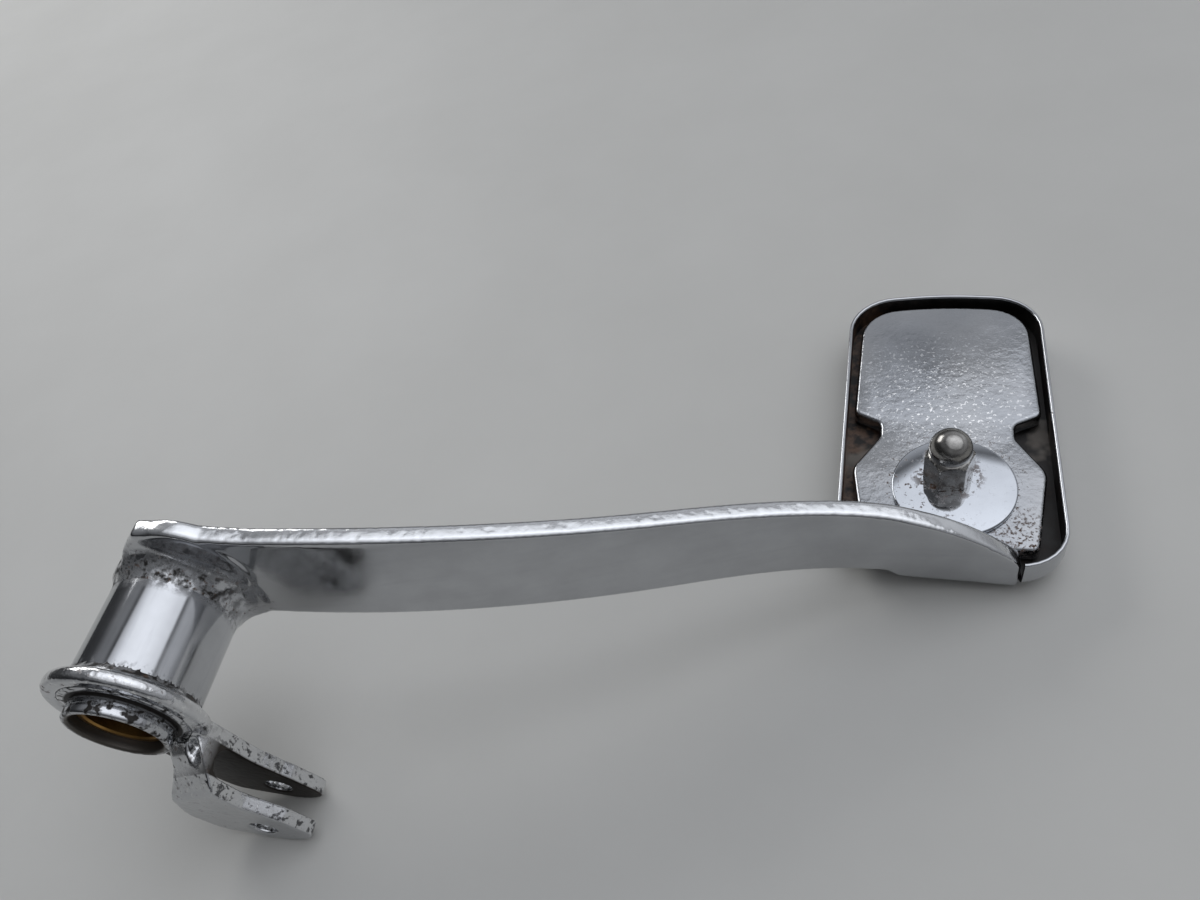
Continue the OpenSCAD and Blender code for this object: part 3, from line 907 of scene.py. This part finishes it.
def nut_piece():
    """A hexagon with chamfered ends under a dome, ring by ring, and a blind bore."""
    half, dome = NUT_AF / 2, NUT_AF / 2 - 0.1
    base, count, corner, free = PLATE_TOP + WASHER_T, 144, half * 1.142, math.inf
    levels = [(0.0, half + 0.45), (0.25, half + 0.8), (0.6, free)]
    levels += [(z, free) for z in np.linspace(1.2, NUT_HEX_H - 1.7, 8)]
    levels += [(NUT_HEX_H - 1.2, half + 0.75), (NUT_HEX_H - 0.7, half + 0.35),
               (NUT_HEX_H - 0.25, half - 0.1), (NUT_HEX_H, half - 0.5),
               (NUT_HEX_H + 0.25, dome - 0.45), (NUT_HEX_H + 0.55, dome - 0.1)]
    top = NUT_H - dome
    levels += [(top + dome * math.sin(t), dome * math.cos(t)) for t in arc_steps(14)[:-1]]
    angles = [2 * math.pi * i / count for i in range(count)]
    rings = []
    for z, limit in levels:
        ring = []
        for t in angles:
            turn = (t - NUT_TURN) % (math.pi / 3) - math.pi / 6
            r = min(half / math.cos(turn), corner, limit)
            ring.append((r * math.cos(-t), r * math.sin(-t)))
        rings.append(at_stud(ring, base + z))
    bore_ring = [(STUD_FIT_R * math.cos(-t), STUD_FIT_R * math.sin(-t)) for t in angles]
    bore = [at_stud(bore_ring, base + z) for z in (NUT_HEX_H - 1.1, 0.0)]
    return make_mesh("nut", loft(bore + rings), sharp=18)


add_piece("pivot_tube_look", tube_piece(), "pivot_tube", "chrome", tube_material())
add_piece("fork_lever_look", lever_piece(), "fork_lever", "chrome", lever_material())
add_piece("arm_look", arm_piece(), "arm", "chrome", arm_material())
add_piece("foot_plate_look", plate_piece(), "foot_plate", "chrome", plate_material())
bronze = bush_material()
near_bush = bush_piece("near bush", TUBE_NEAR + BUSH_IN)
far_bush = bush_piece("far bush", TUBE_FAR - BUSH_IN - BUSH_LEN)
add_piece("near_bush_look", near_bush, "near_bush", "bronze", bronze)
add_piece("far_bush_look", far_bush, "far_bush", "bronze", bronze)
cover = cover_piece()
marks = [face.material_index for face in cover.polygons]
add_piece("pad_cover_look", cover, "pad_cover", "chrome", cover_material(), cover_inside_material())
cover.polygons.foreach_set("material_index", marks)
add_piece("backing_plate_look", backing_piece(), "backing_plate", "black_steel", backing_material())
add_piece("rubber_pad_look", rubber_piece(), "rubber_pad", "pad_rubber", rubber_material())
add_piece("large_washer_look", washer_piece(), "large_washer", "chrome", washer_material())
steel = nut_material()
add_piece("dome_nut_look", nut_piece(), "dome_nut", "tarnished_steel", steel)
nodes["pad_stud"].data.materials.clear()
nodes["pad_stud"].data.materials.append(steel)

# Camera
FOCAL_PX = 940.0
FRAME_PX = 1200.0
SENSOR = 36.0
camera_data = bpy.data.cameras.new("camera")
camera_data.sensor_width = SENSOR
camera_data.lens = SENSOR * FOCAL_PX / FRAME_PX
camera_data.clip_start = 0.01
camera = bpy.data.objects.new("camera", camera_data)
camera.location = (0.18098, -0.09436, 0.19881)
camera.rotation_euler = Euler([math.radians(a) for a in (39.767, 12.052, 8.704)], "XYZ")
bpy.context.scene.collection.objects.link(camera)
bpy.context.scene.camera = camera

# The table, on which the pedal rests with its ears and the edge of its pad
TABLE_TILT, TABLE_REACH = 0.0289, 3000.0
REST_X, REST_Z = 26.0, -55.2
floor_mesh = bpy.data.meshes.new("floor")
corners = [(x * TABLE_REACH, y * TABLE_REACH, REST_Z + (x * TABLE_REACH - REST_X) * TABLE_TILT)
           for x, y in ((-1, -1), (1, -1), (1, 1), (-1, 1))]
floor_mesh.from_pydata([tuple(v * MM for v in corner) for corner in corners], [], [(0, 1, 2, 3)])
floor = bpy.data.objects.new("floor", floor_mesh)
bpy.context.scene.collection.objects.link(floor)
table = Look("pale table", 0.55, 0.0)
shades = (0.35, (0.565, 0.56, 0.535)), (0.65, (0.595, 0.59, 0.565))
table.colour = table.ramp(table.noise(9, 6, 0.6), *shades)
table.raise_by(table.noise(420, 3, 0.6), 1.0)
floor_mesh.materials.append(table.done(0.25, 0.12))

# Soft studio light: a bright ceiling over a dark band, and a far side brighter than the near one
world = bpy.data.worlds.new("world")
bpy.context.scene.world = world
world.use_nodes = True
sky = world.node_tree
background = sky.nodes["Background"]
direction = sky.nodes.new("ShaderNodeTexCoord").outputs["Generated"]
sky_x, sky_y, sky_z = (component(sky, direction, name) for name in "XYZ")


def sky_ramp(fac, *stops):
    """Faintly blue greys from pairs of (position, brightness)."""
    return ramp(sky, fac, [(pos, (v, v * 1.01, v * 1.03)) for pos, v in stops])


slant = maths(sky, "ADD", sky_z, maths(sky, "MULTIPLY", sky_x, 0.26))
height = sky_ramp(slant, (0.0, 0.13), (0.22, 0.15), (0.46, 0.42), (0.64, 0.42), (0.69, 0.28),
                  (0.73, 0.10), (0.75, 0.25), (0.775, 0.72), (0.86, 0.78), (1.0, 1.0))
across = sky_ramp(between(sky, sky_x, -1.0, 1.0), (0.0, 0.22), (0.28, 0.45), (0.42, 1.0),
                  (0.85, 1.0), (1.0, 0.7))
side = sky_ramp(between(sky, sky_y, -1.0, 1.0), (0.0, 0.30), (0.42, 0.62), (0.60, 1.0),
                (0.88, 0.95), (1.0, 0.5))
light = mix(sky, 1.0, mix(sky, 1.0, height, side, "MULTIPLY"), across, "MULTIPLY")
sky.links.new(light, background.inputs["Color"])
background.inputs["Strength"].default_value = 1.45

def panel(name, place, target, wide, high, power):
    data = bpy.data.lights.new(name, "AREA")
    data.shape = "RECTANGLE"
    data.size, data.size_y = wide, high
    data.energy = power
    lamp = bpy.data.objects.new(name, data)
    lamp.location = place
    lamp.rotation_euler = (Vector(target) - Vector(place)).to_track_quat("-Z", "Y").to_euler()
    bpy.context.scene.collection.objects.link(lamp)


panel("far panel", (-0.95, 1.05, 0.8), (0.1, 0.05, 0), 0.9, 0.5, 6)

bpy.context.scene.view_settings.view_transform = "Standard"
